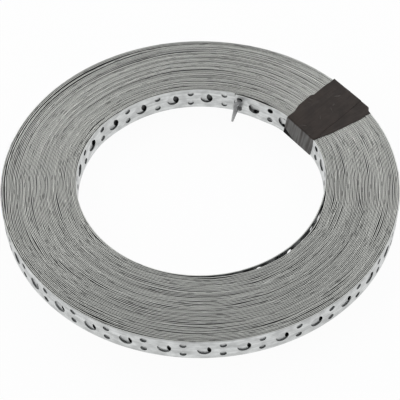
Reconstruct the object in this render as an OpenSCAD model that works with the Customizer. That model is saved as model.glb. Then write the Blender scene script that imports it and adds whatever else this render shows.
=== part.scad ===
// Coil of perforated galvanised steel strap, lying flat on one end.
// The strap is wound turn on turn into a ring. A band of dark tape is wrapped round the ring's section,
// and a flat wire threaded through a pair of holes in the innermost turn has its two ends pressed together.

/* [Strap] */
// Width of the strap, which is the height of the ring
strap_w = 12; // [11:0.5:20]
// Thickness of the strap
strap_t = 0.55; // [0.45:0.05:0.9]
// Gap left between one turn and the next
turn_gap = 0.1; // [0.06:0.02:0.2]
// Depth to which that gap shows on each end of the ring
turn_groove = 0.8; // [0.4:0.1:2]
// Number of turns
turns = 54; // [30:1:70]
// Diameter of the bore
bore_d = 115; // [90:1:160]

/* [Perforation] */
// Distance along the strap from one large hole to the next
hole_pitch = 16.95; // [15:0.05:24]
// Diameter of the large holes on the strap's middle line
large_hole_d = 6; // [4:0.1:7]
// Diameter of the paired small holes
small_hole_d = 3; // [2.4:0.1:3.4]
// Distance between the two small holes of a pair, across the strap
pair_gauge = 6; // [5.5:0.1:7]
// Distance along the strap from a large hole to the pair beside it
pair_lead = 8; // [7:0.25:9]
// Direction in which the strap's outer end lies, under the tape
outer_end_angle = 31; // [0:1:90]
// Distance from the strap's outer end to its first large hole
outer_end_margin = 13; // [4:0.1:16]
// Distance from the strap's inner end to its first pair
inner_end_margin = 2.1; // [1.9:0.1:6]

/* [Binding tape] */
// Width of the tape
tape_w = 19.4; // [12:0.1:30]
// Distance by which the second wrap swings aside on its way from the bore to the rim
tape_swing = 10; // [0:0.5:14]
// Thickness of one layer
tape_t = 0.15; // [0.1:0.01:0.25]
// Direction of the first wrap's middle line
tape_angle = 31.8; // [0:0.1:90]
// Play between the tape and the steel
tape_play = 0.02; // [0.01:0.01:0.1]

/* [Wire tie] */
// Thickness of the flat wire
wire_t = 0.5; // [0.3:0.05:0.6]
// Width to which its two ends narrow at the tip
tip_w = 0.9; // [0.6:0.1:1.6]
// Length of the tail, in which the two ends are pressed together
tail_l = 6.2; // [4:0.1:12]
// Length by which the lower end is shorter
tail_step = 0.6; // [0.2:0.1:2]
// Distance from the bore's wall to the tail
tail_root = 5; // [4:0.1:7]
// Sideways place of the tail's root, from which it slants back to the holes' line
root_lean = 0.4; // [0:0.1:2]
// How far the upper leg bows sideways between its hole and the tail
leg_bow = 1.1; // [0:0.1:2.5]
// Direction of the pair of holes that the wire is threaded through
wire_angle = 69.4; // [50:0.1:120]
// Play between the wire and the steel, and between its two ends
wire_play = 0.05; // [0.03:0.01:0.1]

/* [Hidden] */
$fn = 96;

turn_pitch = strap_t + turn_gap;
bore_r = bore_d / 2;
coil_r = bore_r + turns * turn_pitch - turn_gap;
tape_wraps = 2;
tape_build = tape_wraps * tape_t;
// The ring's lower end rests on the layers of tape that pass under it
coil_z = tape_build + tape_play;
mid_z = coil_z + strap_w / 2;

// Lengths along the strap are measured on its middle
outer_fibre = coil_r - strap_t / 2;
inner_fibre = bore_r + strap_t / 2;
// Large holes and pairs that fit round the outermost and the innermost turn
outer_room = 2 * PI * outer_fibre - outer_end_margin - pair_lead - small_hole_d;
inner_room = 2 * PI * inner_fibre - inner_end_margin - pair_lead - large_hole_d;
outer_count = 1 + floor(outer_room / hole_pitch);
inner_count = 1 + floor(inner_room / hole_pitch);

// The flat wire just passes through the small holes
wire_w = 0.73 * small_hole_d;
// Middle lines of the wire: behind the innermost turn, and through each hole of its pair
wire_back = strap_t + wire_play + wire_t / 2;
wire_bend = 1.8 * wire_t;
wire_hole_z = (pair_gauge - small_hole_d) / 2 + wire_bend;
wire_sides = 12;

// Angle that an arc of a given length takes up at a given radius
function arc_deg(length, radius) = length / radius * 180 / PI;

// Outline of half the ring's section, with a groove between each turn and the next on both ends
function turn_r(i) = bore_r + i * turn_pitch;
function end_points(i, z, inward) = [
    [turn_r(i), z],
    [turn_r(i) + strap_t, z],
    if (i < turns - 1) [turn_r(i) + strap_t, z + inward],
    if (i < turns - 1) [turn_r(i + 1), z + inward]
];
lower_end = [for (i = [0 : turns - 1]) each end_points(i, 0, turn_groove)];
upper_end = [for (i = [0 : turns - 1]) each end_points(i, strap_w, -turn_groove)];
ring_section = concat(lower_end, [for (i = [len(upper_end) - 1 : -1 : 0]) upper_end[i]]);

// A hole through one turn, along the ring's radius, between two radii
module radial_hole(d, angle, z, from_r, to_r) {
    rotate([0, 0, angle])
        translate([from_r, 0, z])
            rotate([0, 90, 0])
                cylinder(d = d, h = to_r - from_r);
}

module hole_pair(angle, z, from_r, to_r) {
    for (side = [-1, 1])
        radial_hole(small_hole_d, angle, z + side * pair_gauge / 2, from_r, to_r);
}

// Perforation of the outermost turn, counted from the strap's outer end
module outer_perforation() {
    near = coil_r - strap_t;
    far = coil_r + 1;
    for (i = [0 : outer_count - 1]) {
        along = outer_end_margin + i * hole_pitch;
        radial_hole(large_hole_d, outer_end_angle + arc_deg(along, outer_fibre), mid_z, near, far);
        hole_pair(outer_end_angle + arc_deg(along + pair_lead, outer_fibre), mid_z, near, far);
    }
}

// Perforation of the innermost turn, counted from the pair that takes the wire
module inner_perforation() {
    near = bore_r - 1;
    far = bore_r + strap_t;
    for (i = [0 : inner_count - 1]) {
        along = i * hole_pitch;
        hole_pair(wire_angle - arc_deg(along, inner_fibre), mid_z, near, far);
        radial_hole(large_hole_d, wire_angle - arc_deg(along + pair_lead, inner_fibre), mid_z, near, far);
    }
}

// Room for the wire behind the innermost turn, from one hole of its pair to the other
module wire_room() {
    near = bore_r + strap_t;
    far = near + wire_t + 2 * wire_play;
    room_w = wire_w + 2 * wire_play;
    hole_pair(wire_angle, mid_z, bore_r - 1, far);
    rotate([0, 0, wire_angle])
        translate([near, -room_w / 2, mid_z - pair_gauge / 2])
            cube([far - near, room_w, pair_gauge]);
}

module strap_coil() {
    color([0.68, 0.70, 0.70])
        difference() {
            translate([0, 0, coil_z])
                rotate_extrude($fn = 180)
                    polygon(ring_section);
            outer_perforation();
            inner_perforation();
            wire_room();
        }
}

// The tape is pulled straight across the bore, where it touches the ring at its two edges
bore_flat = sqrt(pow(bore_r - tape_play, 2) - pow(tape_w / 2, 2));

// Plan of one wrap, from a line across the bore to past the rim, swung aside by a distance at the rim
module wrap_plan(from_x, swing, extra) {
    to_x = coil_r + tape_w / 2;
    half = tape_w / 2 + extra;
    function side(x) = swing * (x - bore_flat) / (coil_r - bore_flat);
    polygon([
        [from_x, side(from_x) - half],
        [to_x, side(to_x) - half],
        [to_x, side(to_x) + half],
        [from_x, side(from_x) + half]
    ]);
}

// A block of one wrap's plan that ends on a cylinder about the coil's axis
module wrap_block(from_x, rim_r, swing, extra, low_z, high_z) {
    intersection() {
        translate([0, 0, low_z])
            linear_extrude(height = high_z - low_z)
                wrap_plan(from_x, swing, extra);
        translate([0, 0, low_z])
            cylinder(r = rim_r, h = high_z - low_z);
    }
}

// One wrap, a closed band round the ring's section with a number of layers in it
module tape_wrap(layers, swing) {
    build = layers * tape_t;
    low_z = coil_z - tape_play;
    high_z = coil_z + strap_w + tape_play;
    rim_r = coil_r + tape_play;
    difference() {
        wrap_block(bore_flat - build, rim_r + build, swing, 0, low_z - build, high_z + build);
        wrap_block(bore_flat, rim_r, swing, tape_w, low_z, high_z);
    }
}

// The first wrap lies straight on the ring, and the second swings aside over it
module binding_tape() {
    color([0.23, 0.21, 0.20])
        rotate([0, 0, tape_angle]) {
            tape_wrap(1, 0);
            tape_wrap(tape_wraps, tape_swing);
        }
}

// Curves of the wire, in a frame with x towards the coil's axis, y along the turn and z up.
// The fourth number of each point is half the wire's width there.
function bezier(a, b, c, d, t) =
    pow(1 - t, 3) * a + 3 * t * pow(1 - t, 2) * b + 3 * t * t * (1 - t) * c + pow(t, 3) * d;
function reversed(list) = [for (i = [len(list) - 1 : -1 : 0]) list[i]];

// One end in the tail, from its tip to the tail's root, on the upper or the lower side
function tail_point(x, side) =
    let (left = 1 - (x - tail_root) / tail_l)
    [x, root_lean * left * left, side * (wire_t + wire_play) / 2, (tip_w + (wire_w - tip_w) * left) / 2];
tail_rings = 12;
function tail_points(length, side) = [
    for (i = [tail_rings : -1 : 1]) tail_point(tail_root + length * i / tail_rings, side)
];
// The leg from the tail's root to a hole, and the bend behind the turn
leg_rings = 16;
function leg_points(side, bow) =
    let (
        start = tail_point(tail_root, side),
        slant = 0.4 * tail_root * [1, -2 * root_lean / tail_l, 0, 0],
        mouth = [wire_play + wire_t / 2, 0, side * wire_hole_z, wire_w / 2]
    )
    [for (i = [0 : leg_rings])
        bezier(start, start - slant, mouth + [0.4 * tail_root, 0, 0, 0], mouth, i / leg_rings)
            + [0, bow * pow(sin(180 * i / leg_rings), 2), 0, 0]];
bend_rings = 6;
function bend_points(side) = [
    for (i = [0 : bend_rings])
        let (angle = 90 * i / bend_rings)
        [
            wire_bend - wire_back - wire_bend * sin(angle),
            0,
            side * (wire_hole_z - wire_bend + wire_bend * cos(angle)),
            wire_w / 2
        ]
];
wire_path = concat(
    tail_points(tail_l, 1),
    leg_points(1, leg_bow),
    bend_points(1),
    reversed(bend_points(-1)),
    reversed(leg_points(-1, 0)),
    reversed(tail_points(tail_l - tail_step, -1))
);

// A flat bar with rounded edges, swept along a path that never runs along y and that carries its half widths
module flat_bar(path, thickness, sides) {
    last = len(path) - 1;
    function unit(v) = v / norm(v);
    function place(i) = [path[i][0], path[i][1], path[i][2]];
    function heading(i) = unit(place(min(i + 1, last)) - place(max(i - 1, 0)));
    function ring_side(i) = unit(cross(heading(i), [0, 1, 0]));
    function ring_up(i) = cross(heading(i), ring_side(i));
    points = [
        for (i = [0 : last], s = [0 : sides - 1])
            let (angle = 360 * s / sides)
            place(i) + thickness / 2 * cos(angle) * ring_side(i) + path[i][3] * sin(angle) * ring_up(i)
    ];
    walls = [
        for (i = [0 : last - 1], s = [0 : sides - 1])
            let (next = (s + 1) % sides)
            [i * sides + s, i * sides + next, (i + 1) * sides + next, (i + 1) * sides + s]
    ];
    first_cap = [for (s = [sides - 1 : -1 : 0]) s];
    last_cap = [for (s = [0 : sides - 1]) last * sides + s];
    polyhedron(points, concat([first_cap], walls, [last_cap]), convexity = 10);
}

module wire_tie() {
    color([0.52, 0.52, 0.53])
        rotate([0, 0, wire_angle])
            translate([bore_r, 0, mid_z])
                mirror([1, 0, 0])
                    flat_bar(wire_path, wire_t, wire_sides);
}

strap_coil();
binding_tape();
wire_tie();
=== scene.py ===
"""Looks of a flat coil of perforated steel strap: the wound strap, its binding tape and its wire tie.

Laid out as an add-on and run as a script. Lengths are metres and angles are radians,
unless a name says otherwise.
"""
import math
import random

import bmesh
import bpy
import numpy as np
from bpy.props import (
    FloatProperty,
    FloatVectorProperty,
    IntProperty,
    PointerProperty,
)
from mathutils import Matrix, Vector


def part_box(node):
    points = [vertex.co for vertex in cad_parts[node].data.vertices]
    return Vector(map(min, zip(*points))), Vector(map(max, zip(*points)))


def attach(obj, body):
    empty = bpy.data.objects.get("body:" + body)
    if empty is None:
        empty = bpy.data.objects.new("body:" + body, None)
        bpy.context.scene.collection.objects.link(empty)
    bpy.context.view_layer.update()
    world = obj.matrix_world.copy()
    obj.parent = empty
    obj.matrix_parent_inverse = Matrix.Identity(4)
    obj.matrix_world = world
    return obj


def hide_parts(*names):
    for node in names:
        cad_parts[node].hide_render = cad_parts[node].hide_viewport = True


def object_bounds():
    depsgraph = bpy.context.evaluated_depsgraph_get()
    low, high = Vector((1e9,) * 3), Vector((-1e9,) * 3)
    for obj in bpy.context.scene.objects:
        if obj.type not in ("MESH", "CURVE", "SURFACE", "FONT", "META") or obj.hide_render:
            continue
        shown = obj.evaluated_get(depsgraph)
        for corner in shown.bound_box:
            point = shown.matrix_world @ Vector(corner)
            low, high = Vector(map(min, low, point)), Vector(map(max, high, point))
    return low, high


bl_info = {
    "name": "Perforated Strap Coil",
    "version": (1, 0, 0),
    "blender": (4, 5, 0),
    "location": "View3D > Sidebar > Strap Coil",
    "description": "Winds a perforated strap into a flat coil, binds it with tape and ties it with wire",
    "category": "Object",
}

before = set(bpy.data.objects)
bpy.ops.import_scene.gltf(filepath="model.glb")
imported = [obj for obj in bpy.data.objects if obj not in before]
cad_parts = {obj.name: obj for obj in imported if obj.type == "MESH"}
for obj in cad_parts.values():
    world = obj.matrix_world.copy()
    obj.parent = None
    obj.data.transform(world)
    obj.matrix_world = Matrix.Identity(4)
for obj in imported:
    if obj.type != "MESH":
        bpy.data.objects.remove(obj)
CAD_BOX = [list(corner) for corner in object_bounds()]
COIL_LOW, COIL_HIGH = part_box("strap_coil")
RIM_RADIUS = COIL_HIGH[0]
STRAP_WIDTH = COIL_HIGH[2] - COIL_LOW[2]
MID_HEIGHT = (COIL_LOW[2] + COIL_HIGH[2]) / 2

MM = 0.001
TURN = 2 * math.pi
# Points that lie closer together than this are one point
WELD = 0.01 * MM
# Steps to a turn in which the spiral is worked out
STEPS = 240
# Half the angle in which the tape holds the turns together
GRIP = math.radians(18)
# Corners of the ring's section, in the order in which the tape goes round them, and its points at each
CORNERS = ("bore_foot", "bore_head", "rim_head", "rim_foot")
CORNER_POINTS = 7


def length(name, text, millimetres):
    """A size that the user may change, given in millimetres."""
    return FloatProperty(
        name=name, description=text, default=millimetres * MM, unit="LENGTH", precision=5
    )


def angle(name, text, degrees):
    """A direction or a turn that the user may change, given in degrees."""
    return FloatProperty(
        name=name, description=text, default=math.radians(degrees), subtype="ANGLE"
    )


def colour(name, text, rgb):
    """A finish colour that the user may change, in linear light."""
    return FloatVectorProperty(
        name=name, description=text, default=rgb, size=3, subtype="COLOR", min=0, max=1
    )


# Sizes and colours that a user would change


class StrapSizes(bpy.types.PropertyGroup):
    """Sizes of the strap and of its winding."""

    thickness: length("Thickness", "Thickness of the strap", 0.55)
    edge_chamfer: length("Edge chamfer", "Worn corner along each slit edge", 0.14)
    bore_radius: length("Bore radius", "Inner radius of the innermost whole turn", 57.7)
    inner_end: angle("Inner end", "Direction of the strap's inner end", 71.6)
    outer_end: angle("Outer end", "Direction of the strap's outer end", 31.0)
    bow: length("Bow", "How far the strap's edges bow towards the axis, except on the last turn", 0.18)
    turns: IntProperty(name="Turns", description="Turns in the ring", default=54, min=4)
    hole_pitch: length("Hole pitch", "Distance from one large hole to the next", 16.95)
    large_hole: length("Large hole", "Diameter of the large holes", 6.0)
    small_hole: length("Small hole", "Diameter of the paired small holes", 3.0)
    pair_gauge: length("Pair gauge", "Distance between the two holes of a pair", 6.0)
    pair_lead: length("Pair lead", "Distance from a large hole to its pair", 8.0)
    inner_margin: length("Inner margin", "Distance from the inner end to the first pair", 2.1)
    outer_margin: length("Outer margin", "Distance from the outer end to the last large hole", 13.0)
    outer_phase: length("Outer phase", "Plain strap before the last turn, hidden by the tape", 4.6)
    spring_in: length("Spring in", "How far the free inner end springs off the next turn", 1.0)
    stand_off: length("Stand off", "Gap behind the innermost turn past the tape", 1.45)
    step_angle: angle("Step angle", "Angle in which a turn makes each half of its step inwards", 14.4)
    dent: length("Dent", "How far the bore is pressed in at the back", 0.55)
    swell: length("Swell", "How far the bore is drawn out beside the tape", 1.2)
    step_height: length("Step height", "Unevenness of the turns' edges on the ends", 0.1)
    looseness: FloatProperty(
        name="Looseness", description="Unevenness of the gaps between turns", default=0.8, min=0, max=1.5
    )
    slack_turns: IntProperty(name="Slack turns", description="Outer turns that lie slack", default=10)
    slack_direction: angle("Slack direction", "Direction in which they lie slackest", 145)
    seed: IntProperty(name="Seed", description="Seed of the winding's unevenness", default=7)


class TapeSizes(bpy.types.PropertyGroup):
    """Sizes of the binding tape."""

    width: length("Width", "Width of the tape", 19.4)
    thickness: length("Thickness", "Thickness of one layer", 0.12)
    direction: angle("Direction", "Direction of the first wrap's middle line", 31.8)
    corner: length("Corner", "Radius of the tape where it turns over the ring's edges", 0.5)
    play: length("Play", "Play between the tape and the strap", 0.03)
    swing: length("Swing", "Distance by which the second wrap swings aside at the rim", 9.4)
    lower_swing: length("Lower swing", "How far aside the tape starts, under the bore's edge", 2.0)
    bore_pull: length("Bore pull", "How far the tape is pulled off the hollow of the bore", 0.65)
    bore_turn: angle("Bore turn", "Turn of the tape's wall in the bore", 5.5)
    pinch: length("Pinch", "How far the tape draws the rim in", 0.4)
    pinch_direction: angle("Pinch direction", "Direction in which the rim is drawn in most", 43.0)
    flat_direction: angle("Flat direction", "Direction that the tape's flat outer wall faces", 37.5)
    flat_stand: length("Flat stand", "How far the flat outer wall stands off the rim", -0.08)
    flat_stop: angle("Flat stop", "Direction in which the flat wall steps down to the rim", 27.6)
    edge_bulge: length("Edge bulge", "How far the second wrap's stretched edge bulges", 1.5)
    front_bulge: length("Front bulge", "How far the first wrap's front edge bulges", 0.8)


class WireSizes(bpy.types.PropertyGroup):
    """Sizes of the flat wire tie."""

    width: length("Width", "Width of the flat wire", 2.2)
    thickness: length("Thickness", "Thickness of the flat wire", 0.5)
    tip_width: length("Tip width", "Width to which its two ends narrow at the tip", 0.9)
    direction: angle("Direction", "Direction of the pair of holes that the wire goes through", 69.4)
    tail: length("Tail", "Length in which the two ends are pressed together", 7.5)
    step: length("Step", "Length by which the lower end is shorter", 0.6)
    root: length("Root", "Distance from the bore's wall to the tail", 5.0)
    lean: length("Lean", "Sideways place of the tail's root", 0.4)
    tip_swing: length("Tip swing", "How far the tip swings to the other side", 0.5)
    leg_bow: length("Leg bow", "How far the upper leg bows sideways", 1.1)


class FinishColours(bpy.types.PropertyGroup):
    """Colours of the finishes, and of the painted sheen and painted shade on the tape."""

    zinc: colour("Zinc", "Zinc coat on the strap's faces", (0.69, 0.705, 0.70))
    edge: colour("Slit edge", "Bare slit edges of the strap", (0.638, 0.64, 0.6))
    tape: colour("Tape", "Dark plastic tape", (0.023, 0.0145, 0.0105))
    # Painted sheen: a pale colour for the light on the tape's stretched wall in the bore
    wall_sheen: colour("Sheen", "Dust on the tape's wall in the bore", (0.145, 0.142, 0.136))
    # Painted shade: a near-black colour for the shadow under the tape's torn corner
    shadowed: colour("Torn corner", "Shade at the tape's torn corner", (0.004, 0.004, 0.004))
    scratch: colour("Scratch", "Pale scratches on the tape", (0.16, 0.15, 0.14))
    wire: colour("Wire", "Bare flat wire", (0.40, 0.40, 0.395))


class StageSettings(bpy.types.PropertyGroup):
    """The camera's place, the lamps and the floor."""

    elevation: angle("Elevation", "Height of the camera above the floor", 49.374)
    distance: length("Distance", "Distance from the camera to the coil's centre", 578.58)
    aim_down: angle("Aim down", "Turn of the camera below the coil's centre", 0.3386)
    aim_left: angle("Aim left", "Turn of the camera to the left of the centre", 0.016)
    roll: angle("Roll", "Roll of the camera", -0.3333)
    lens: FloatProperty(name="Lens", description="Focal length in millimetres", default=110.18)
    floor_size: length("Floor", "Width of the floor", 6000.0)


# Helpers for modelling by operators


def deselect_all():
    """Leave nothing selected, the frame's own nodes included."""
    if bpy.context.mode != "OBJECT":
        bpy.ops.object.mode_set(mode="OBJECT")
    bpy.ops.object.select_all(action="DESELECT")


def make_active(obj):
    """Select one object alone."""
    deselect_all()
    obj.select_set(True)
    bpy.context.view_layer.objects.active = obj


def in_edit_mode(obj):
    """Open one object for editing."""
    make_active(obj)
    bpy.ops.object.mode_set(mode="EDIT")


def pick(obj, kind, test):
    """Select the faces, edges or verts of an open mesh that pass a test."""
    bpy.ops.mesh.select_all(action="DESELECT")
    bpy.ops.mesh.select_mode(type={"verts": "VERT", "edges": "EDGE", "faces": "FACE"}[kind])
    mesh = bmesh.from_edit_mesh(obj.data)
    for item in getattr(mesh, kind):
        if test(item):
            item.select_set(True)
    mesh.select_flush_mode()
    bmesh.update_edit_mesh(obj.data)


def close_edit():
    """Leave edit mode."""
    bpy.ops.object.mode_set(mode="OBJECT")


def apply_modifier(obj, kind, **settings):
    """Add one modifier, set it and apply it."""
    make_active(obj)
    modifier = obj.modifiers.new(kind.title(), kind)
    for key, value in settings.items():
        setattr(modifier, key, value)
    bpy.ops.object.modifier_apply(modifier=modifier.name)


def repeat_along(obj, count, step):
    """Repeat a length of strap end to end."""
    apply_modifier(
        obj,
        "ARRAY",
        count=count,
        use_relative_offset=False,
        use_constant_offset=True,
        constant_offset_displace=(step, 0, 0),
        use_merge_vertices=True,
        merge_threshold=WELD,
    )


def cut_across(place, normal, **options):
    """Cut an open mesh with a plane."""
    bpy.ops.mesh.select_all(action="SELECT")
    bpy.ops.mesh.bisect(plane_co=place, plane_no=normal, **options)


def lies_at(item, station):
    """Whether every corner of an edge or a face lies at a station along X."""
    return all(abs(vert.co.x - station) < WELD for vert in item.verts)


def face_outwards():
    """Turn all faces of an open mesh outwards."""
    bpy.ops.mesh.select_all(action="SELECT")
    bpy.ops.mesh.normals_make_consistent(inside=False)


def cap_ends(obj, total):
    """Close both ends of an open mesh that runs along X, and turn its faces outwards."""
    for station in (0, total):
        pick(obj, "edges", lambda edge: lies_at(edge, station))
        bpy.ops.mesh.edge_face_add()
    face_outwards()


def shift_along(obj, distance):
    """Move a flat length of strap along itself, in its mesh."""
    obj.data.transform(Matrix.Translation((distance, 0, 0)))


def guide_curve(name, points):
    """A guide through points worked out by a formula, for winding a flat piece along it."""
    data = bpy.data.curves.new(name, "CURVE")
    data.dimensions = "3D"
    data.twist_mode = "Z_UP"
    spline = data.splines.new("POLY")
    spline.points.add(len(points) - 1)
    flat = np.ones((len(points), 4))
    flat[:, :3] = points
    spline.points.foreach_set("co", flat.ravel())
    guide = bpy.data.objects.new(name, data)
    bpy.context.collection.objects.link(guide)
    return guide


def wind_along(obj, guide):
    """Wind a flat piece that runs along X onto its guide, then delete the guide."""
    apply_modifier(obj, "CURVE", object=guide, deform_axis="POS_X")
    data = guide.data
    bpy.data.objects.remove(guide)
    bpy.data.curves.remove(data)


def finish_piece(obj, name, material, node):
    """Name a finished piece, give it its finish and set it in place of its node."""
    obj.name = name
    obj.data.name = name
    obj.data.materials.clear()
    obj.data.materials.append(material)
    places = vertex_places(obj)
    slack = 0.05 * MM
    low, high = np.array(CAD_BOX)
    if not len(places) or (places < low - slack).any() or (places > high + slack).any():
        raise RuntimeError(f"{name} is empty or leaves the box of the CAD part")
    make_active(obj)
    sharpest = math.radians(32)
    bpy.ops.object.shade_smooth_by_angle(angle=sharpest)
    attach(obj, "root")
    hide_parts(node)


# The strap, modelled flat and then wound


def pair_place(strap):
    """Place of the pair of small holes along its cell."""
    return (strap.hole_pitch - strap.pair_lead) / 2


def perforated_cell(strap):
    """One pitch of flat strap, with a pair of small holes and the large hole after it, open at both ends."""
    deselect_all()
    pitch = strap.hole_pitch
    upright = (math.pi / 2, 0, 0)
    bpy.ops.mesh.primitive_plane_add(size=1, location=(pitch / 2, 0, 0), rotation=upright)
    cell = bpy.context.object
    cell.scale = (pitch, STRAP_WIDTH, 1)
    bpy.ops.object.transform_apply(location=True, rotation=True, scale=True)
    in_edit_mode(cell)
    bpy.ops.mesh.select_all(action="SELECT")
    bpy.ops.mesh.delete(type="ONLY_FACE")
    large_corners = 28
    small_corners = 18
    pair_x = pair_place(strap)
    holes = [(pair_x + strap.pair_lead, 0, strap.large_hole, large_corners)]
    for side in (-1, 1):
        holes.append((pair_x, side * strap.pair_gauge / 2, strap.small_hole, small_corners))
    for x, z, size, corners in holes:
        bpy.ops.mesh.primitive_circle_add(
            vertices=corners, radius=size / 2, location=(x, 0, z), rotation=upright
        )
    bpy.ops.mesh.select_all(action="SELECT")
    bpy.ops.mesh.fill(use_beauty=True)
    bends = 6
    for i in range(1, bends):
        cut_across((pitch * i / bends, 0, 0), (1, 0, 0))
    close_edit()
    apply_modifier(cell, "SOLIDIFY", thickness=strap.thickness, offset=0, use_even_offset=True)
    dress_cell(cell, strap, pitch)
    return cell


def plain_cell(strap, step):
    """One short step of flat strap without holes, open at both ends."""
    deselect_all()
    bpy.ops.mesh.primitive_cube_add(size=1, location=(step / 2, 0, 0))
    cell = bpy.context.object
    cell.scale = (step, strap.thickness, STRAP_WIDTH)
    bpy.ops.object.transform_apply(location=True, rotation=True, scale=True)
    dress_cell(cell, strap, step)
    return cell


def bowed_by(strap, places):
    """How far the strap bows towards the axis at each of its flat places."""
    return strap.bow * (2 * places[:, 2] / STRAP_WIDTH) ** 2


def dress_cell(cell, strap, step):
    """Chamfer the slit edges of a length of strap, take off its two end faces and bow it."""
    half = STRAP_WIDTH / 2
    chamfer = strap.edge_chamfer
    in_edit_mode(cell)
    for height in (chamfer - half, 0, half - chamfer):
        cut_across((0, 0, height), (0, 0, 1))
    pick(cell, "verts", lambda vert: abs(vert.co.z) > half - WELD)
    narrowed = 1 - 2 * chamfer / strap.thickness
    bpy.ops.transform.resize(value=(1, narrowed, 1), center_override=(0, 0, 0))
    for station in (0, step):
        pick(cell, "faces", lambda face: lies_at(face, station))
        bpy.ops.mesh.delete(type="ONLY_FACE")
    close_edit()
    places = vertex_places(cell)
    places[:, 1] -= bowed_by(strap, places)
    move_vertices(cell, places)


def slow_noise(seed, low, high):
    """A smooth uneven function of a turned angle, made of waves with paces between two limits."""
    draw = random.Random(seed)
    waves = 11
    parts = [
        (math.exp(draw.uniform(math.log(low), math.log(high))), draw.uniform(0, TURN))
        for _ in range(waves)
    ]

    def value(turned):
        return sum(np.sin(pace * turned + start) for pace, start in parts) / math.sqrt(waves)

    return value


def smooth_step(value, low, high):
    """Nothing below a low value, one above a high one and smooth between."""
    share = np.clip((value - low) / (high - low), 0, 1)
    return share * share * (3 - 2 * share)


def near_angle(bearing, centre, half_width):
    """One at a direction, falling smoothly to nothing at half a width to each side of it."""
    away = np.abs((bearing - centre + math.pi) % TURN - math.pi)
    return 0.5 + 0.5 * np.cos(math.pi * np.clip(away / half_width, 0, 1))


def uneven_gaps(strap, back, bearing, held):
    """Gap under each place on the spiral, in a table of turns by steps.

    The whole turns' gaps have a mean of one in each direction.
    """
    half_width = math.radians(75)
    rear_direction = math.radians(105)
    rear_share = 0.6
    rear_gain = 1.8
    even_share = 0.5
    fading_turns = 3
    widened = 1.4
    outermost_tightened = 0.4
    long_waves = slow_noise(strap.seed, 0.4, 3.0)(back)
    short_waves = slow_noise(strap.seed + 2, 6.0, 24.0)(back)
    outer = 1 - smooth_step(back / TURN, strap.slack_turns, strap.slack_turns + fading_turns)
    slack = outer * near_angle(bearing, strap.slack_direction, half_width) * (1 - held)
    rear = rear_share * near_angle(bearing, rear_direction, half_width)
    long_share = even_share + slack + rear_gain * rear
    short_share = 1 - np.maximum(slack, rear)
    uneven = long_share * long_waves + short_share * short_waves
    gaps = np.exp(strap.looseness * (1 - held) * uneven + widened * slack)
    gaps[0] *= 1 - outermost_tightened * (1 - slack[0]) * (1 - held[0])
    whole = strap.turns - 2
    return gaps * whole / gaps[:whole].sum(axis=0)


def bore_shape(strap, bearing):
    """How far the bore lies inside a true circle in a direction."""
    degrees = np.degrees(bearing % TURN)
    dent_begins = smooth_step(degrees, 57, 76)
    dent_ends = smooth_step(degrees, 132, 148)
    swell_direction = math.radians(15)
    swell_half_width = math.radians(40)
    swollen = near_angle(bearing, swell_direction, swell_half_width)
    return strap.dent * dent_begins * (1 - dent_ends) - strap.swell * swollen


def gap_behind(strap, bearing):
    """How far the other turns stand off the innermost one in a direction."""
    degrees = np.degrees((strap.inner_end - bearing) % TURN)
    stations = [78, 90, 105, 125, 140, 165, 200, 240, 270, 345, 357]
    shares = [0.0, 0.65, 0.9, 1.0, 0.85, 0.2, 0.0, 0.0, 0.15, 0.15, 0.0]
    return strap.stand_off * np.interp(degrees, stations, shares)


def free_end(strap, turned):
    """How far the free inner end springs inwards, at an angle turned from it."""
    stations = [0, 6.6, 11.6, 16, 22, 27, 38]
    shares = [0.5, 0.76, 0.98, 1.0, 0.25, 0.2, 0.0]
    return strap.spring_in * np.interp(np.degrees(turned), stations, shares)


def step_before(strap, ahead):
    """How much of its half step inwards a turn has made, at an angle ahead of the outer end's direction."""
    return 0.5 * (1 - smooth_step(ahead, 0, strap.step_angle))


def step_after(strap, behind):
    """How much of its half step inwards a turn has yet to make, at an angle behind that direction."""
    return -0.5 * (1 - smooth_step(behind, 0, strap.step_angle))


def rim_pinch(tape, bearing):
    """How far the rim is drawn in by the tape, in a direction."""
    return tape.pinch * near_angle(bearing, tape.pinch_direction, GRIP)


def spiral_points(strap, tape):
    """Centre line of the wound strap from its inner end to its outer end, clockwise from above.

    It is worked out in a table of turns by steps, counted back from the outer end.
    """
    total = (strap.turns - 1) * TURN + (strap.inner_end - strap.outer_end) % TURN
    rows = math.ceil(total / TURN)
    back = np.arange(rows * STEPS).reshape(rows, STEPS) * TURN / STEPS
    bearing = strap.outer_end + back
    held = near_angle(bearing, tape.direction, GRIP)
    gaps = uneven_gaps(strap, back, bearing, held)
    step_in = step_before(strap, TURN - back % TURN) + step_after(strap, back % TURN)
    depth = RIM_RADIUS - strap.bore_radius - strap.thickness
    gap = depth / (strap.turns - 2) - strap.thickness
    inward = strap.thickness * (np.arange(rows)[:, None] + step_in)
    inward += gap * (np.cumsum(gaps, axis=0) - gaps * (1 - step_in))
    share = inward / depth
    inward += share * bore_shape(strap, bearing) + (1 - share) * rim_pinch(tape, bearing)
    inward[:-2] -= share[:-2] * gap_behind(strap, bearing[:-2])
    inward[-1] += free_end(strap, total - back[-1])
    waves = slow_noise(strap.seed + 1, 0.15, 2.0)(back)
    # The sine folds high waves back, so that no edge stands out by more than the step height
    unevenness = np.sin(1.5 * waves)
    height = MID_HEIGHT + strap.step_height * unevenness * (1 - held)
    turned = np.append(np.arange(0, total, TURN / STEPS), total)[::-1]
    inward, height = (np.interp(turned, back.ravel(), table.ravel()) for table in (inward, height))
    radius = RIM_RADIUS - strap.thickness / 2 - inward
    bearing = strap.outer_end + turned
    return np.stack([radius * np.cos(bearing), radius * np.sin(bearing), height], axis=-1)


def path_length(points):
    """Length of a run of points."""
    return float(np.linalg.norm(np.diff(points, axis=0), axis=1).sum())


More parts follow.
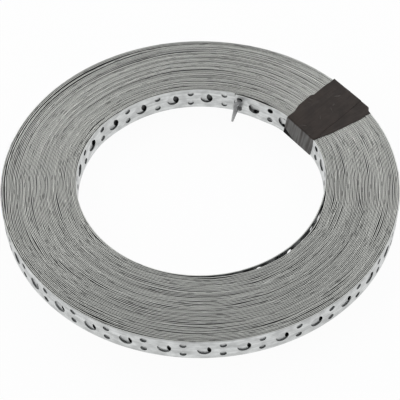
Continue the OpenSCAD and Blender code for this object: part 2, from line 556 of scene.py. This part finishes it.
def perforated_runs(strap, total):
    """Where each run of holes starts along the strap, and how many cells it has."""
    pitch = strap.hole_pitch
    inner_start = strap.inner_margin - pair_place(strap)
    outer_stop = total - strap.outer_margin + pair_place(strap)
    inner_turn = math.ceil(TURN * (strap.bore_radius + strap.thickness) / pitch)
    outer_turn = round(TURN * RIM_RADIUS / pitch)
    last_run = outer_stop - outer_turn * pitch
    return [
        (inner_start, 2 * inner_turn),
        (last_run - strap.outer_phase - outer_turn * pitch, outer_turn),
        (last_run, outer_turn + 1),
    ]


def flat_strap(strap, total):
    """The whole strap laid out flat along X, perforated where its holes can be seen and plain between."""
    pitch = strap.hole_pitch
    runs = perforated_runs(strap, total)
    pieces = []
    for start, count in runs:
        pieces.append(perforated_cell(strap))
        repeat_along(pieces[-1], count, pitch)
        shift_along(pieces[-1], start)
    plain_step = 5.5 * MM
    for (start, count), (stop, _) in zip(runs, runs[1:]):
        begin = start + count * pitch
        steps = max(1, round((stop - begin) / plain_step))
        step = (stop - begin) / steps
        pieces.append(plain_cell(strap, step))
        repeat_along(pieces[-1], steps, step)
        shift_along(pieces[-1], begin)
    deselect_all()
    for piece in pieces:
        piece.select_set(True)
    bpy.context.view_layer.objects.active = pieces[0]
    bpy.ops.object.join()
    close_strap(pieces[0], total)
    return pieces[0]


def close_strap(flat, total):
    """Weld the joined lengths, trim both ends square and cap them."""
    in_edit_mode(flat)
    bpy.ops.mesh.select_all(action="SELECT")
    bpy.ops.mesh.remove_doubles(threshold=WELD)
    cut_across((0, 0, 0), (1, 0, 0), clear_inner=True)
    cut_across((total, 0, 0), (1, 0, 0), clear_outer=True)
    cap_ends(flat, total)
    close_edit()


def note_flat_place(obj, name):
    """Keep each corner's place on the flat piece as a UV map, along and across, in metres."""
    uv = obj.data.uv_layers.new(name=name)
    corners = np.empty(len(obj.data.loops), dtype=np.int32)
    obj.data.loops.foreach_get("vertex_index", corners)
    flat = vertex_places(obj)[corners][:, [0, 2]]
    uv.data.foreach_set("uv", np.ascontiguousarray(flat, dtype=np.float32).ravel())


def mark_faces(obj, name, test):
    """Mark the faces that pass a test with one in a face attribute, and the others with nothing."""
    mark = obj.data.attributes.new(name, "FLOAT", "FACE")
    for face, value in zip(obj.data.polygons, mark.data):
        value.value = 1.0 if test(face) else 0.0


def vertex_places(obj):
    """Places of a mesh's vertices as a table."""
    places = np.empty(len(obj.data.vertices) * 3, dtype=np.float32)
    obj.data.vertices.foreach_get("co", places)
    return places.reshape(-1, 3).astype(float)


def move_vertices(obj, places):
    """Put a mesh's vertices at the places in a table."""
    obj.data.vertices.foreach_set("co", np.ascontiguousarray(places, dtype=np.float32).ravel())
    obj.data.update()


class STRAPCOIL_OT_wind_strap(bpy.types.Operator):
    """Model the perforated strap flat and wind it into the ring"""

    bl_idname = "strap_coil.wind_strap"
    bl_label = "Wind strap"

    def execute(self, context):
        scene = context.scene
        strap = scene.strap_coil_strap
        points = spiral_points(strap, scene.strap_coil_tape)
        total = path_length(points)
        first_turn = path_length(points[: STEPS + 1])
        last_turn = path_length(points[-STEPS - 1 :])
        flat = flat_strap(strap, total)
        places = vertex_places(flat)
        bow_fades = total - 1.1 * last_turn
        unbowed = smooth_step(places[:, 0], bow_fades, total - last_turn)
        places[:, 1] += bowed_by(strap, places) * unbowed
        move_vertices(flat, places)
        note_flat_place(flat, "flat_strap")
        self.mark_walls(flat, strap)
        wind_along(flat, guide_curve("winding_guide", points))
        material = galvanised_strap(scene.strap_coil_finish, strap, (first_turn, last_turn, total))
        finish_piece(flat, "strap_wound", material, "strap_coil")
        return {"FINISHED"}

    def mark_walls(self, flat, strap):
        """Mark the walls of the punched holes, and the faces that will look outwards."""
        inside = STRAP_WIDTH / 2 - strap.edge_chamfer
        facing = 0.5

        def is_punched(face):
            return abs(face.normal.y) < facing and abs(face.center.z) < inside

        mark_faces(flat, "punched", is_punched)
        mark_faces(flat, "outward", lambda face: face.normal.y > facing)


# The binding tape, a strip wound twice round the ring's section


def tape_route(tape, strap):
    """Route of the tape's middle line round the ring's section, with X outwards and Y up."""
    bore_edge = strap.bore_radius - tape.bore_pull
    stations = []
    for lap in (0, 1):
        build = (lap + 0.5) * tape.thickness + tape.play
        left, right = bore_edge - build, RIM_RADIUS + build
        low, high = COIL_LOW[2] - build, COIL_HIGH[2] + build
        for x, y, begin in ((left, low, 270), (left, high, 180), (right, high, 90), (right, low, 0)):
            middle_x = x + tape.corner * (1 if x == left else -1)
            middle_y = y + tape.corner * (1 if y == low else -1)
            for turn in np.radians(begin - np.linspace(0, 90, CORNER_POINTS)):
                round_x, round_y = tape.corner * math.cos(turn), tape.corner * math.sin(turn)
                stations.append((middle_x + round_x, middle_y + round_y))
    stations.append(((left + right) / 2, low))
    return np.array(stations)


def corner_middle(lap, corner):
    """Which point of the tape's route is the middle of a corner."""
    return (lap * len(CORNERS) + CORNERS.index(corner)) * CORNER_POINTS + CORNER_POINTS // 2


def run_lengths(route):
    """Length of a route up to each of its points."""
    return np.concatenate([[0], np.cumsum(np.linalg.norm(np.diff(route, axis=0), axis=1))])


def tape_drift(tape, along):
    """Sideways place of the tape's middle at each point of its route, positive anticlockwise."""
    stations = [corner_middle(lap, corner) for lap in (0, 1) for corner in CORNERS]
    first_lap = [tape.lower_swing, 0, 0, 0]
    second_lap = [tape.lower_swing, 0, tape.swing, tape.swing]
    drift = [*first_lap, *second_lap, tape.swing / 2]
    return np.interp(along, along[[*stations, len(along) - 1]], drift)


def flat_strip(tape, total):
    """The strip laid out flat along X."""
    deselect_all()
    spacing = 0.3 * MM
    steps_across = 24
    bpy.ops.mesh.primitive_grid_add(
        x_subdivisions=round(total / spacing),
        y_subdivisions=steps_across,
        size=1,
        location=(total / 2, 0, 0),
        rotation=(math.pi / 2, 0, 0),
    )
    strip = bpy.context.object
    strip.scale = (total, tape.width, 1)
    bpy.ops.object.transform_apply(location=True, rotation=True, scale=True)
    return strip


class STRAPCOIL_OT_wrap_tape(bpy.types.Operator):
    """Model the strip of tape and wrap it twice round the ring's section"""

    bl_idname = "strap_coil.wrap_tape"
    bl_label = "Wrap tape"

    def execute(self, context):
        scene = context.scene
        tape = scene.strap_coil_tape
        route = tape_route(tape, scene.strap_coil_strap)
        along = run_lengths(route)
        strip = flat_strip(tape, along[-1])
        note_flat_place(strip, "flat_tape")
        flat = vertex_places(strip)
        wind_along(strip, guide_curve("wrapping_guide", np.column_stack([route, 0 * along])))
        self.swing_wraps(strip, flat, tape, along)
        self.lay_on_ring(strip, tape, scene.strap_coil_strap)
        apply_modifier(strip, "SOLIDIFY", thickness=tape.thickness, offset=0)
        wall_foot = along[corner_middle(1, "bore_foot")]
        wall_head = along[corner_middle(1, "bore_head")]
        material = dark_tape(scene.strap_coil_finish, wall_foot, wall_head)
        finish_piece(strip, "tape_wrapped", material, "binding_tape")
        return {"FINISHED"}

    def swing_wraps(self, strip, flat, tape, along):
        """Swing the second wrap aside, let both wraps' edges bulge and let the second down off the first."""
        places = vertex_places(strip)
        drift = tape_drift(tape, along)
        half = tape.width / 2
        place, across = flat[:, 0], flat[:, 2]
        side = across + np.interp(place, along, drift)

        # The second wrap's back edge, from the bore to the rim
        past_bore = place - along[corner_middle(1, "bore_head")]
        bulge = smooth_step(past_bore, 4 * MM, 9 * MM) - 0.7 * smooth_step(past_bore, 17.5 * MM, 20 * MM)
        bulge_ends = smooth_step(past_bore, 27 * MM, 34 * MM)
        at_back = np.clip(across / half, 0, 1) ** 2
        side += tape.edge_bulge * at_back * bulge * (1 - bulge_ends)

        # The first wrap's front edge, from the bore to the rim
        past_bore = place - along[corner_middle(0, "bore_head")]
        bulge = smooth_step(past_bore, 0, 12 * MM)
        bulge_ends = smooth_step(past_bore, 28 * MM, 34 * MM)
        at_front = np.clip(-across / half, 0, 1) ** 2
        side -= tape.front_bulge * at_front * bulge * (1 - bulge_ends)

        # The second wrap's fall where it passes the first wrap's edges
        lap = along[len(CORNERS) * CORNER_POINTS]
        first_middle = np.interp(place - lap, along, drift)
        fall = 1.2 * MM
        past_first = (place > lap) * smooth_step(np.abs(side - first_middle) - half, 0, fall)
        places[:, 1] -= past_first * tape.thickness * np.sign(places[:, 1] - MID_HEIGHT)
        places[:, 2] = -side
        move_vertices(strip, places)

    def lay_on_ring(self, strip, tape, strap):
        """Stretch the strip's outer wall flat, turn its wall in the bore and set the strip in place."""
        out, up, aside = vertex_places(strip).T
        off_middle = np.arcsin(-aside / RIM_RADIUS)
        bearing = tape.direction + off_middle
        half_step = math.radians(0.8)
        on_flat = smooth_step(bearing, tape.flat_stop - half_step, tape.flat_stop + half_step)
        flat_wall = (RIM_RADIUS + tape.flat_stand) / np.cos(bearing - tape.flat_direction)
        let_down = 1.2 * strap.thickness
        low_wall = RIM_RADIUS - let_down * step_before(strap, strap.outer_end - bearing)
        reach = on_flat * flat_wall + (1 - on_flat) * low_wall
        bore = out.min()
        in_bore = 1 - smooth_step(out, bore + MM, bore + 9 * MM)
        share = smooth_step(out, bore + MM, RIM_RADIUS)
        out = out - share * (RIM_RADIUS - reach * np.cos(off_middle))
        out += in_bore * aside * math.tan(tape.bore_turn)
        towards = np.array([math.cos(tape.direction), math.sin(tape.direction)])
        clockwise = np.array([towards[1], -towards[0]])
        flat = np.outer(out, towards) + np.outer(aside, clockwise)
        move_vertices(strip, np.column_stack([flat, up]))


# The flat wire tie, through a pair of holes in the innermost turn


def wire_half(wire, strap, side, tail, bow):
    """One end of the flat wire: its tail, the leg to its hole and the bend behind the turn.

    A row is a point, with X towards the coil's axis and Y up, then its sideways place and its width.
    """
    play = 0.05 * MM
    bend = 1.8 * wire.thickness
    back = strap.thickness + play + wire.thickness / 2
    hole_z = (strap.pair_gauge - strap.small_hole) / 2 + bend
    tail_points = 14
    leg_points = 18
    bend_points = 8

    along = np.linspace(tail, 0, tail_points)
    left = 1 - along / wire.tail
    level = 0 * along + side * (wire.thickness + play) / 2
    narrowed = wire.tip_width + (wire.width - wire.tip_width) * left
    beside = wire.lean * left**2 - wire.tip_swing * (1 - left) ** 2
    tail_part = np.column_stack([wire.root + along, level, beside, narrowed])

    start = tail_part[-1]
    mouth = np.array([play + wire.thickness / 2, side * hole_z, 0, wire.width])
    reach = 0.4 * wire.root
    slant = reach * np.array([1, 0, -2 * wire.lean / wire.tail, 0])
    corners = (start, start - slant, mouth + [reach, 0, 0, 0], mouth)
    share = np.linspace(0, 1, leg_points)[1:, None]
    weights = ((1 - share) ** 3, 3 * share * (1 - share) ** 2, 3 * share**2 * (1 - share), share**3)
    leg = sum(weight * corner for weight, corner in zip(weights, corners))
    leg[:, 2] += bow * np.sin(math.pi * share[:, 0]) ** 2

    turn = np.linspace(0, math.pi / 2, bend_points)
    rise = side * (hole_z - bend + bend * np.cos(turn))
    inward = bend - back - bend * np.sin(turn)
    hook = np.column_stack([inward, rise, 0 * turn, 0 * turn + wire.width])
    return np.concatenate([tail_part, leg, hook])


def wire_path(wire, strap):
    """The flat wire's path from its longer end, through both holes, to its shorter end."""
    upper = wire_half(wire, strap, 1, wire.tail, wire.leg_bow)
    lower = wire_half(wire, strap, -1, wire.tail - wire.step, 0)
    return np.concatenate([upper, lower[::-1]])


def flat_bar(wire, total):
    """A straight flat bar with rounded edges, along X, with both ends closed."""
    deselect_all()
    spacing = 0.25 * MM
    steps = round(total / spacing)
    step = total / steps
    bpy.ops.mesh.primitive_cylinder_add(
        vertices=12,
        radius=0.5,
        depth=1,
        end_fill_type="NOTHING",
        location=(step / 2, 0, 0),
        rotation=(0, math.pi / 2, 0),
    )
    bar = bpy.context.object
    bar.scale = (wire.width, wire.thickness, step)
    bpy.ops.object.transform_apply(location=True, rotation=True, scale=True)
    repeat_along(bar, steps, step)
    in_edit_mode(bar)
    cap_ends(bar, total)
    close_edit()
    return bar


def inner_wall(points, strap, direction):
    """Radius of the bore's wall in a direction close to the strap's inner end."""
    near_steps = 50
    near = points[:near_steps]
    away = np.abs(np.arctan2(near[:, 1], near[:, 0]) - direction)
    return float(np.hypot(*near[np.argmin(away), :2])) - strap.thickness / 2


class STRAPCOIL_OT_tie_wire(bpy.types.Operator):
    """Thread the flat wire through its pair of holes and press its ends together"""

    bl_idname = "strap_coil.tie_wire"
    bl_label = "Tie wire"

    def execute(self, context):
        scene = context.scene
        wire = scene.strap_coil_wire
        strap = scene.strap_coil_strap
        path = wire_path(wire, strap)
        along = run_lengths(path[:, :2])
        bar = flat_bar(wire, along[-1])
        flat = vertex_places(bar)
        wind_along(bar, guide_curve("tie_guide", np.column_stack([path[:, :2], 0 * along])))
        out, up, _ = vertex_places(bar).T
        aside = flat[:, 2] / wire.width * np.interp(flat[:, 0], along, path[:, 3])
        aside += np.interp(flat[:, 0], along, path[:, 2])
        points = spiral_points(strap, scene.strap_coil_tape)
        radius = inner_wall(points, strap, wire.direction) - out
        towards = np.array([math.cos(wire.direction), math.sin(wire.direction)])
        onward = np.array([-towards[1], towards[0]])
        ground = np.outer(radius, towards) + np.outer(aside, onward)
        move_vertices(bar, np.column_stack([ground, MID_HEIGHT + up]))
        in_edit_mode(bar)
        face_outwards()
        close_edit()
        finish_piece(bar, "wire_flat", dull_wire(scene.strap_coil_finish), "wire_tie")
        return {"FINISHED"}


# Finishes


class Nodes:
    """Short ways to add and join the nodes of one tree."""

    def __init__(self, tree):
        self.tree = tree

    def add(self, kind, **settings):
        """A new node with its settings."""
        node = self.tree.nodes.new(kind)
        for key, value in settings.items():
            setattr(node, key, value)
        return node

    def feed(self, socket, value):
        """Join an output to an input, or set the input to a constant."""
        if isinstance(value, bpy.types.NodeSocket):
            self.tree.links.new(value, socket)
        else:
            socket.default_value = value

    def math(self, operation, *values):
        """A sum, product or other result of values."""
        node = self.add("ShaderNodeMath", operation=operation)
        for socket, value in zip(node.inputs, values):
            self.feed(socket, value)
        return node.outputs[0]

    def ramp(self, value, low, high, start=0.0, stop=1.0):
        """A value carried smoothly from one range to another."""
        node = self.add("ShaderNodeMapRange", interpolation_type="SMOOTHSTEP")
        for name, number in (("From Min", low), ("From Max", high), ("To Min", start), ("To Max", stop)):
            node.inputs[name].default_value = number
        self.feed(node.inputs["Value"], value)
        return node.outputs["Result"]

    def mix(self, share, first, second, blend="MIX"):
        """Two colours mixed by a share."""
        node = self.add("ShaderNodeMix", data_type="RGBA", blend_type=blend)
        sockets = [socket for socket in node.inputs if socket.enabled]
        for socket, value in zip(sockets, (share, first, second)):
            self.feed(socket, value)
        return next(socket for socket in node.outputs if socket.enabled)

    def grey(self, value):
        """A value as a colour."""
        node = self.add("ShaderNodeCombineColor")
        for socket in node.inputs:
            self.feed(socket, value)
        return node.outputs[0]

    def shade(self, tint, tone):
        """A colour made darker or lighter by a tone."""
        return self.mix(1.0, (*tint, 1), self.grey(tone), "MULTIPLY")

    def blend(self, share, first, second):
        """Two shaders mixed by a share."""
        node = self.add("ShaderNodeMixShader")
        for socket, value in zip(node.inputs, (share, first, second)):
            self.feed(socket, value)
        return node.outputs[0]

    def face_mark(self, name):
        """A mark that a piece's faces carry."""
        return self.add("ShaderNodeAttribute", attribute_name=name).outputs["Fac"]

    def flat_axes(self, uv_map, unit):
        """A piece's flat place in a unit of length, as two values: along and across."""
        split = self.add("ShaderNodeSeparateXYZ")
        self.feed(split.inputs[0], self.flat_place(uv_map, unit, unit))
        return split.outputs["X"], split.outputs["Y"]

    def flat_place(self, uv_map, along, across):
        """A piece's flat place, stretched along and across so that a pattern fits it."""
        place = self.add("ShaderNodeUVMap", uv_map=uv_map)
        fit = self.add("ShaderNodeMapping")
        self.feed(fit.inputs["Vector"], place.outputs["UV"])
        fit.inputs["Scale"].default_value = (1 / along, 1 / across, 1)
        return fit.outputs["Vector"]

    def noise(self, place, detail):
        """Cloudy noise with one feature to each unit of a place."""
        node = self.add("ShaderNodeTexNoise")
        self.feed(node.inputs["Vector"], place)
        node.inputs["Scale"].default_value = 1.0
        node.inputs["Detail"].default_value = detail
        return node.outputs["Fac"]

    def tone(self, place, darkest, lightest, detail=2.0):
        """An uneven tone between two limits, with one feature to each unit of a place."""
        node = self.add("ShaderNodeGroup", node_tree=tone_group())
        self.feed(node.inputs["Place"], place)
        for name, number in (("Detail", detail), ("Darkest", darkest), ("Lightest", lightest)):
            node.inputs[name].default_value = number
        return node.outputs["Tone"]

    def bump(self, height, strength, distance):
        """A normal that follows a height."""
        node = self.add("ShaderNodeBump")
        node.inputs["Strength"].default_value = strength
        node.inputs["Distance"].default_value = distance
        self.feed(node.inputs["Height"], height)
        return node.outputs["Normal"]


def new_material(name):
    """A node material with only its shader and output, and short ways to add to it."""
    material = bpy.data.materials.new(name)
    material.use_nodes = True
    nodes = Nodes(material.node_tree)
    nodes.tree.nodes.clear()
    shader = nodes.add("ShaderNodeBsdfPrincipled")
    output = nodes.add("ShaderNodeOutputMaterial")
    nodes.feed(output.inputs["Surface"], shader.outputs["BSDF"])
    return material, nodes, shader


def tone_group():
    """The node group of an uneven tone, shared by the finishes and made when it is first asked for."""
    group = bpy.data.node_groups.get("uneven_tone")
    if group:
        return group
    group = bpy.data.node_groups.new("uneven_tone", "ShaderNodeTree")
    group.interface.new_socket("Place", in_out="INPUT", socket_type="NodeSocketVector")
    for name in ("Detail", "Darkest", "Lightest"):
        group.interface.new_socket(name, in_out="INPUT", socket_type="NodeSocketFloat")
    group.interface.new_socket("Tone", in_out="OUTPUT", socket_type="NodeSocketFloat")
    nodes = Nodes(group)
    given = nodes.add("NodeGroupInput")
    clouds = nodes.add("ShaderNodeTexNoise")
    clouds.inputs["Scale"].default_value = 1.0
    spread = nodes.add("ShaderNodeMapRange", interpolation_type="SMOOTHSTEP")
    spread.inputs["From Min"].default_value = 0.3
    spread.inputs["From Max"].default_value = 0.7
    result = nodes.add("NodeGroupOutput")
    nodes.feed(clouds.inputs["Vector"], given.outputs["Place"])
    nodes.feed(clouds.inputs["Detail"], given.outputs["Detail"])
    nodes.feed(spread.inputs["Value"], clouds.outputs["Fac"])
    nodes.feed(spread.inputs["To Min"], given.outputs["Darkest"])
    nodes.feed(spread.inputs["To Max"], given.outputs["Lightest"])
    nodes.feed(result.inputs["Tone"], spread.outputs["Result"])
    return group


def zinc_tone(nodes, cloudy, along, off_middle, turns):
    """Tone of the zinc, streaked and cloudy, with painted shade on its hole walls, in the gaps where other
    turns cover it and on the innermost turn's outer face.
    """
    first_turn, last_turn, total = turns
    # Turns from the nearer end, past which others cover the strap's edges and then all of it, and painted
    # shade darkens the zinc
    one_turn = 1.002
    two_turns = 2.03
    # How dark the painted shade makes the zinc in the gaps, on the hole walls and behind the innermost turn
    gap_shade_tone = 0.12
    hole_shade_tone = 0.4
    first_turn_shade_tone = 0.4
    streaks = nodes.tone(nodes.flat_place("flat_strap", 50 * MM, 1.2 * MM), 0.84, 1.05, detail=3.0)
    from_inner = nodes.math("DIVIDE", along, first_turn)
    from_outer = nodes.math("DIVIDE", nodes.math("SUBTRACT", total, along), last_turn)
    depth = nodes.math("MINIMUM", from_inner, from_outer)
    # Painted shade in the gaps between turns: near the edges past one turn, and all over past two turns
    by_edge = nodes.ramp(off_middle, 0.33 * STRAP_WIDTH, 0.42 * STRAP_WIDTH)
    edge_gap_shade = nodes.math("MULTIPLY", nodes.math("GREATER_THAN", depth, one_turn), by_edge)
    gap_shade = nodes.math("MAXIMUM", nodes.math("GREATER_THAN", depth, two_turns), edge_gap_shade)
    # Painted shade on the innermost turn's outer face, in the gap behind it
    on_first = nodes.math("LESS_THAN", along, first_turn)
    first_turn_gap_shade = nodes.math("MULTIPLY", nodes.face_mark("outward"), on_first)
    masks = (
        (gap_shade, gap_shade_tone),
        # Painted shade on the walls of the punched holes, for the shadow inside the holes
        (nodes.face_mark("punched"), hole_shade_tone),
        (first_turn_gap_shade, first_turn_shade_tone),
    )
    tone = nodes.math("MULTIPLY", streaks, cloudy)
    for mask, darkened in masks:
        tone = nodes.math("MULTIPLY", tone, nodes.ramp(mask, 0.0, 1.0, 1.0, darkened))
    return tone


def slit_tone(nodes):
    """Tone of the slit edges, which varies by turn, with dark dashes of painted shadow from the gaps and
    pale dashes of painted glints.
    """
    by_turn = nodes.tone(nodes.flat_place("flat_strap", 120 * MM, 1.0), 0.78, 1.2)
    # Painted shadow and painted highlight: dark dashes stand for the gaps' shadows along the edges, pale
    # dashes for glints
    dash_noise = nodes.noise(nodes.flat_place("flat_strap", 6.5 * MM, 1.0), detail=0.0)
    painted_shadow_dashes = nodes.ramp(dash_noise, 0.28, 0.38, 0.6, 1.0)
    painted_glint_dashes = nodes.ramp(dash_noise, 0.64, 0.74, 1.0, 1.2)
    return nodes.math("MULTIPLY", by_turn, nodes.math("MULTIPLY", painted_shadow_dashes, painted_glint_dashes))


def galvanised_strap(finish, strap, turns):
    """Zinc coated faces and bare slit edges."""
    material, nodes, shader = new_material("galvanised_strap")
    along, across = nodes.flat_axes("flat_strap", 1)
    off_middle = nodes.math("ABSOLUTE", across)
    slit_begins = STRAP_WIDTH / 2 - 0.55 * strap.edge_chamfer
    slit_is_bare = STRAP_WIDTH / 2 - 0.03 * strap.edge_chamfer
    slit = nodes.ramp(off_middle, slit_begins, slit_is_bare)
    cloudy = nodes.tone(nodes.flat_place("flat_strap", 5 * MM, 3.5 * MM), 0.76, 1.06, detail=3.0)
    face = nodes.shade(finish.zinc, zinc_tone(nodes, cloudy, along, off_middle, turns))
    edge = nodes.shade(finish.edge, slit_tone(nodes))
    nodes.feed(shader.inputs["Base Color"], nodes.mix(slit, face, edge))
    nodes.feed(shader.inputs["Roughness"], nodes.ramp(slit, 0.0, 1.0, 0.4, 0.44))
    shader.inputs["Metallic"].default_value = 0.9
    nodes.feed(shader.inputs["Normal"], nodes.bump(cloudy, strength=0.15, distance=0.02 * MM))
    return material


def tape_scratches(nodes):
    """A mask of thin curved scratches that come and go in patches."""
    bends = nodes.noise(nodes.flat_place("flat_tape", 11 * MM, 16 * MM), detail=1.0)
    off_line = nodes.math("ABSOLUTE", nodes.math("SUBTRACT", bends, 0.5))
    patches = nodes.noise(nodes.flat_place("flat_tape", 6 * MM, 7 * MM), detail=1.0)
    lines = nodes.ramp(off_line, 0.0, 0.012, 0.4, 0.0)
    return nodes.math("MULTIPLY", lines, nodes.ramp(patches, 0.54, 0.66))


def dark_tape(finish, wall_foot, wall_head):
    """Dark plastic tape with a few pale scratches and a dull sheen, with painted sheen on the pleats of the
    bore's wall and painted shade at its torn corner.
    """
    material, nodes, shader = new_material("dark_tape")
    darkest, lightest = 0.8, 1.25
    creases = nodes.tone(nodes.flat_place("flat_tape", 9 * MM, 6 * MM), darkest, lightest, detail=3.0)
    stretched = nodes.tone(nodes.flat_place("flat_tape", 30 * MM, 1.6 * MM), 0.0, 1.0)

    # Places on the wall in the bore, in millimetres
    along, across = nodes.flat_axes("flat_tape", MM)
    head = wall_head / MM
    above_foot = nodes.math("SUBTRACT", along, wall_foot / MM)
    below_head = nodes.ramp(along, head - 0.6, head + 0.2, 1.0, 0.0)
    on_wall = nodes.math("MULTIPLY", nodes.ramp(above_foot, -0.4, 0.0), below_head)
    # Painted sheen on the tape's pleated wall in the bore
    pleat_sheen = nodes.math("MULTIPLY", on_wall, nodes.ramp(stretched, 0.0, 1.0, 0.25, 1.0))
    # Painted shade under the tape's torn corner, in a triangle below the tear's slanting line
    tear_start = 1.2
    tear_slope = 0.5
    tear_height = nodes.math("MULTIPLY", nodes.math("SUBTRACT", across, tear_start), tear_slope)
    below_tear = nodes.ramp(nodes.math("SUBTRACT", tear_height, above_foot), -0.3, 0.3)
    shadowed = nodes.math("MULTIPLY", below_tear, on_wall)

    tape = nodes.shade(finish.tape, creases)
    tape = nodes.mix(pleat_sheen, tape, (*finish.wall_sheen, 1))
    tape = nodes.mix(shadowed, tape, (*finish.shadowed, 1))
    tape = nodes.mix(tape_scratches(nodes), tape, (*finish.scratch, 1))
    nodes.feed(shader.inputs["Base Color"], tape)
    sheen = nodes.ramp(creases, darkest, lightest, 0.55, 0.42)
    nodes.feed(shader.inputs["Roughness"], nodes.math("MAXIMUM", sheen, shadowed))
    shader.inputs["Specular IOR Level"].default_value = 0.27
    height = nodes.math("ADD", creases, nodes.math("MULTIPLY", stretched, 0.4))
    nodes.feed(shader.inputs["Normal"], nodes.bump(height, strength=0.5, distance=0.2 * MM))
    return material


def dull_wire(finish):
    """Bare flat wire, handled and dull."""
    material, nodes, shader = new_material("dull_wire")
    marks_per_metre = 900
    place = nodes.add("ShaderNodeTexCoord")
    fit = nodes.add("ShaderNodeMapping")
    nodes.feed(fit.inputs["Vector"], place.outputs["Object"])
    fit.inputs["Scale"].default_value = (marks_per_metre,) * 3
    marks = nodes.tone(fit.outputs["Vector"], 0.85, 1.1, detail=3.0)
    nodes.feed(shader.inputs["Base Color"], nodes.shade(finish.wire, marks))
    shader.inputs["Roughness"].default_value = 0.5
    shader.inputs["Metallic"].default_value = 0.6
    nodes.feed(shader.inputs["Normal"], nodes.bump(marks, strength=0.15, distance=0.03 * MM))
    return material


# The stage


def soft_lamp(name, place, power):
    """One large soft lamp aimed at the coil."""
    lamp = bpy.data.lights.new(name, "AREA")
    lamp.shape = "DISK"
    lamp.size = 1.4
    lamp.energy = power
    holder = bpy.data.objects.new(name, lamp)
    bpy.context.collection.objects.link(holder)
    towards = -Vector(place)
    holder.rotation_euler = towards.to_track_quat("-Z", "Y").to_euler()
    holder.location = place


def white_to_the_eye(nodes):
    """A mask of the rays that should see a plain white floor."""
    path = nodes.add("ShaderNodeLightPath")
    seen = nodes.math("MAXIMUM", path.outputs["Is Camera Ray"], path.outputs["Is Glossy Ray"])
    return nodes.math("MAXIMUM", seen, path.outputs["Is Transmission Ray"])


class STRAPCOIL_OT_set_stage(bpy.types.Operator):
    """Set the floor, the soft light and the camera"""

    bl_idname = "strap_coil.set_stage"
    bl_label = "Set stage"

    def execute(self, context):
        stage = context.scene.strap_coil_stage
        self.floor(stage)
        self.light(context.scene)
        self.camera(context.scene, stage)
        return {"FINISHED"}

    def floor(self, stage):
        """A plain floor that looks white and keeps the coil's shadow."""
        deselect_all()
        bpy.ops.mesh.primitive_plane_add(size=stage.floor_size)
        floor = bpy.context.object
        floor.name = "floor"
        material, nodes, shader = new_material("pale_floor")
        shader.inputs["Base Color"].default_value = (0.9, 0.9, 0.9, 1)
        shader.inputs["Roughness"].default_value = 0.9
        glow = nodes.add("ShaderNodeEmission")
        whiteness = 0.95
        share = nodes.math("MULTIPLY", white_to_the_eye(nodes), whiteness)
        output = nodes.tree.nodes["Material Output"]
        pale = nodes.blend(share, shader.outputs["BSDF"], glow.outputs["Emission"])
        nodes.feed(output.inputs["Surface"], pale)
        floor.data.materials.append(material)

    def light(self, scene):
        """An even room, white to the camera, and four soft lamps."""
        world = bpy.data.worlds.new("studio")
        scene.world = world
        world.use_nodes = True
        nodes = Nodes(world.node_tree)
        nodes.tree.nodes.clear()
        room = nodes.add("ShaderNodeBackground")
        room.inputs["Color"].default_value = (0.95, 0.97, 1.0, 1)
        room.inputs["Strength"].default_value = 0.5
        white = nodes.add("ShaderNodeBackground")
        path = nodes.add("ShaderNodeLightPath")
        output = nodes.add("ShaderNodeOutputWorld")
        sky = nodes.blend(path.outputs["Is Camera Ray"], room.outputs[0], white.outputs[0])
        nodes.feed(output.inputs["Surface"], sky)
        soft_lamp("back_lamp", (-0.75, 1.4, 0.75), 7.0)
        soft_lamp("far_right_lamp", (0.85, 1.4, 0.7), 9.5)
        soft_lamp("left_lamp", (-1.5, 0.1, 0.9), 6.5)
        soft_lamp("right_lamp", (1.5, 0.4, 0.9), 3.0)

    def camera(self, scene, stage):
        """The camera at the photo's angle."""
        data = bpy.data.cameras.new("camera")
        camera = bpy.data.objects.new("camera", data)
        scene.collection.objects.link(camera)
        data.lens = stage.lens
        data.sensor_width = 36
        turn = (
            Matrix.Rotation(stage.aim_left, 4, "Z")
            @ Matrix.Rotation(math.pi / 2 - stage.elevation - stage.aim_down, 4, "X")
            @ Matrix.Rotation(stage.roll, 4, "Z")
        )
        camera.rotation_euler = turn.to_euler()
        camera.location = (
            0,
            -stage.distance * math.cos(stage.elevation),
            stage.distance * math.sin(stage.elevation) + COIL_LOW[2],
        )
        scene.camera = camera
        scene.view_settings.view_transform = "Standard"


class STRAPCOIL_PT_panel(bpy.types.Panel):
    """Lists the pieces of the coil and their sizes"""

    bl_label = "Strap Coil"
    bl_idname = "STRAPCOIL_PT_panel"
    bl_space_type = "VIEW_3D"
    bl_region_type = "UI"
    bl_category = "Strap Coil"

    def draw(self, context):
        for operator in OPERATORS:
            self.layout.operator(operator.bl_idname)
        for group in GROUPS:
            settings = getattr(context.scene, group)
            box = self.layout.box()
            for key in settings.__annotations__:
                box.prop(settings, key)


OPERATORS = (
    STRAPCOIL_OT_wind_strap,
    STRAPCOIL_OT_wrap_tape,
    STRAPCOIL_OT_tie_wire,
    STRAPCOIL_OT_set_stage,
)
GROUPS = {
    "strap_coil_strap": StrapSizes,
    "strap_coil_tape": TapeSizes,
    "strap_coil_wire": WireSizes,
    "strap_coil_finish": FinishColours,
    "strap_coil_stage": StageSettings,
}
CLASSES = (*GROUPS.values(), *OPERATORS, STRAPCOIL_PT_panel)


def register():
    """Make the classes and the scene's settings known."""
    for item in CLASSES:
        bpy.utils.register_class(item)
    for name, group in GROUPS.items():
        setattr(bpy.types.Scene, name, PointerProperty(type=group))


def unregister():
    """Take the settings and the classes away again."""
    for name in GROUPS:
        delattr(bpy.types.Scene, name)
    for item in reversed(CLASSES):
        bpy.utils.unregister_class(item)


def main():
    """Build every piece and the stage."""
    register()
    bpy.ops.strap_coil.wind_strap()
    bpy.ops.strap_coil.wrap_tape()
    bpy.ops.strap_coil.tie_wire()
    bpy.ops.strap_coil.set_stage()


if __name__ == "__main__":
    main()
